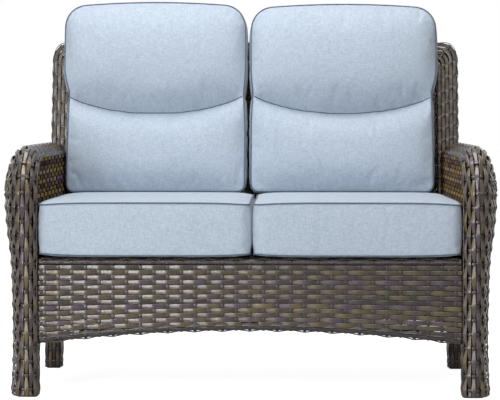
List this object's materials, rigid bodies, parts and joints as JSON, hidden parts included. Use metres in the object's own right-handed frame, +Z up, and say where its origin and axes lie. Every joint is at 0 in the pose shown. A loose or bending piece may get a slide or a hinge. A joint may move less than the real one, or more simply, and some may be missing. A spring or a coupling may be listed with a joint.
{
  "type": "patio loveseat",
  "caption": "Woven resin wicker patio loveseat with rolled arms, an arched apron and loose blue-grey seat and back cushions with dark piping.",
  "frame": {"origin": "on the floor, at the centre of the bounding box in plan", "axes": "+X to the right of somebody who faces the seat, +Y from the front to the back, +Z up"},
  "size_m": [1.321, 0.7721, 1.0789],
  "materials": {
    "wicker": "semi-gloss",
    "steel": "satin",
    "fabric": "woven",
    "foam": "matte",
    "zipper": "matte",
    "slider": "satin",
    "glide": "matte",
    "bolt": "satin"
  },
  "bodies": {
    "frame": {"apron_bottom_wrap": "wicker", "apron_frame": "steel", "apron_top_wrap": "wicker", "apron_weave": "wicker", "arm_band_left": "wicker", "arm_band_right": "wicker", "arm_bows_left": "steel", "arm_bows_right": "steel", "arm_inner_panel_left": "wicker", "arm_inner_panel_right": "wicker", "arm_mount_bar_left": "steel", "arm_mount_bar_right": "steel", "arm_outer_panel_left": "wicker", "arm_outer_panel_right": "wicker", "arm_rear_cap_left": "wicker", "arm_rear_cap_right": "wicker", "arm_tubes_left": "steel", "arm_tubes_right": "steel", "back_border": "wicker", "back_bottom_rail": "steel", "back_brackets": "steel", "back_front_weave": "wicker", "back_hoop": "steel", "back_rear_weave": "wicker", "back_supports": "steel", "foot_glides": "glide", "leg_sleeve_left": "wicker", "leg_sleeve_right": "wicker", "rear_apron": "wicker", "rear_apron_rail": "steel", "rear_leg_sleeve_left": "wicker", "rear_leg_sleeve_right": "wicker", "rear_leg_tube_left": "steel", "rear_leg_tube_right": "steel", "seat_bolts": "bolt", "seat_braces": "steel", "seat_deck": "wicker", "seat_front_rail": "steel", "seat_rear_rail": "steel", "seat_side_rails": "steel", "side_rail_left": "steel", "side_rail_right": "steel"},
    "seat_cushion_left": {"seat_cover_left": "fabric", "seat_foam_left": "foam", "seat_left_zipper": "zipper"},
    "back_cushion_left": {"back_cover_left": "fabric", "back_fill_left": "foam", "back_left_zipper": "zipper"},
    "seat_slider_left": {"seat_left_slider": "slider"},
    "back_slider_left": {"back_left_slider": "slider"},
    "seat_cushion_right": {"seat_cover_right": "fabric", "seat_foam_right": "foam", "seat_right_zipper": "zipper"},
    "back_cushion_right": {"back_cover_right": "fabric", "back_fill_right": "foam", "back_right_zipper": "zipper"},
    "seat_slider_right": {"seat_right_slider": "slider"},
    "back_slider_right": {"back_right_slider": "slider"}
  },
  "joints": [
    {"name": "seat_cushion_left_pull", "type": "slide", "parent": "frame", "child": "seat_cushion_left", "axis": [0, -1, 0], "range_m": [0, 0.3]},
    {"name": "back_cushion_left_lift", "type": "slide", "parent": "frame", "child": "back_cushion_left", "axis": [0, 0.2079, 0.9781], "range_m": [0, 0.3]},
    {"name": "seat_zipper_left_slide", "type": "slide", "parent": "seat_cushion_left", "child": "seat_slider_left", "axis": [1, 0, 0], "range_m": [-0.17, 0.175]},
    {"name": "back_zipper_left_slide", "type": "slide", "parent": "back_cushion_left", "child": "back_slider_left", "axis": [1, 0, 0], "range_m": [-0.17, 0.175]},
    {"name": "seat_cushion_right_pull", "type": "slide", "parent": "frame", "child": "seat_cushion_right", "axis": [0, -1, 0], "range_m": [0, 0.3]},
    {"name": "back_cushion_right_lift", "type": "slide", "parent": "frame", "child": "back_cushion_right", "axis": [0, 0.2079, 0.9781], "range_m": [0, 0.3]},
    {"name": "seat_zipper_right_slide", "type": "slide", "parent": "seat_cushion_right", "child": "seat_slider_right", "axis": [1, 0, 0], "range_m": [-0.17, 0.175]},
    {"name": "back_zipper_right_slide", "type": "slide", "parent": "back_cushion_right", "child": "back_slider_right", "axis": [1, 0, 0], "range_m": [-0.17, 0.175]}
  ]
}
